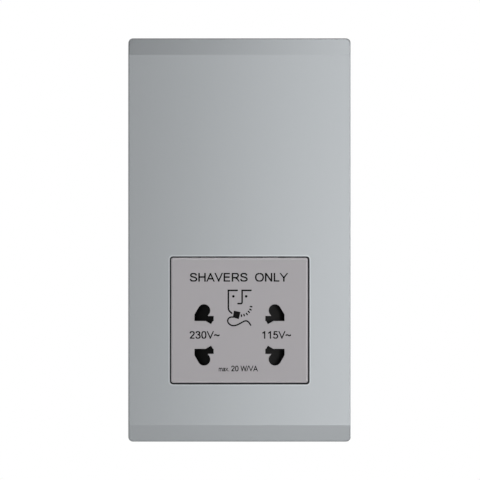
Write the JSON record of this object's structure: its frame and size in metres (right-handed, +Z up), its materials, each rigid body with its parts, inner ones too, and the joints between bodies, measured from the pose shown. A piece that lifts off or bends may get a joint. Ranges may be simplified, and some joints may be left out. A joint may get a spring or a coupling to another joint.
{
  "type": "shaver socket",
  "caption": "Upright dual-voltage shaver socket: silver cover plate, grey socket face with multi-standard pin apertures, sprung interlocking shutter and isolating transformer.",
  "frame": {"origin": "middle of the cover plate, on the wall's surface", "axes": "+Z up, +X to the right as seen from the room, +Y into the wall"},
  "size_m": [0.086, 0.047, 0.156],
  "materials": {
    "silver_lacquer": "satin silver lacquer",
    "grey_moulding": "fine matt grey moulding",
    "black_moulding": "matt black moulding",
    "white_moulding": "natural white moulding",
    "dark_moulding": "charcoal moulding",
    "contact_strip": "rolled strip",
    "spring_steel": "bright drawn wire",
    "lamination_steel": "varnished stampings",
    "enamelled_copper": "enamelled copper wire, wound in rows",
    "terminal_brass": "turned brass",
    "screw_steel": "zinc plated"
  },
  "bodies": {
    "unit": {"cover_plate": "silver_lacquer", "socket_face": "grey_moulding", "mounting_frame": "dark_moulding", "shutter_spring_left": "spring_steel", "shutter_spring_right": "spring_steel", "contact_carrier": "black_moulding", "contact_230_lower": "contact_strip", "contact_230_upper": "contact_strip", "contact_115_lower": "contact_strip", "contact_115_upper": "contact_strip", "switch_base": "white_moulding", "switch_leaf": "contact_strip", "switch_contact": "contact_strip", "core_e_stack": "lamination_steel", "core_i_stack": "lamination_steel", "bobbin": "white_moulding", "primary_winding": "enamelled_copper", "secondary_winding": "enamelled_copper", "thermal_cutout": "white_moulding", "rear_housing": "dark_moulding", "terminal_block": "white_moulding", "terminal_live": "terminal_brass", "terminal_earth": "terminal_brass", "terminal_neutral": "terminal_brass", "housing_screws": "screw_steel", "terminal_screws": "screw_steel"},
    "shutter": {"shutter": "black_moulding"}
  },
  "joints": [
    {"name": "shutter_slide", "type": "slide", "parent": "unit", "child": "shutter", "axis": [1, 0, 0], "range_m": [-0.0077, 0.0077], "stiffness_N_per_m": 150, "deforming": ["shutter_spring_left", "shutter_spring_right", "switch_leaf"]}
  ]
}
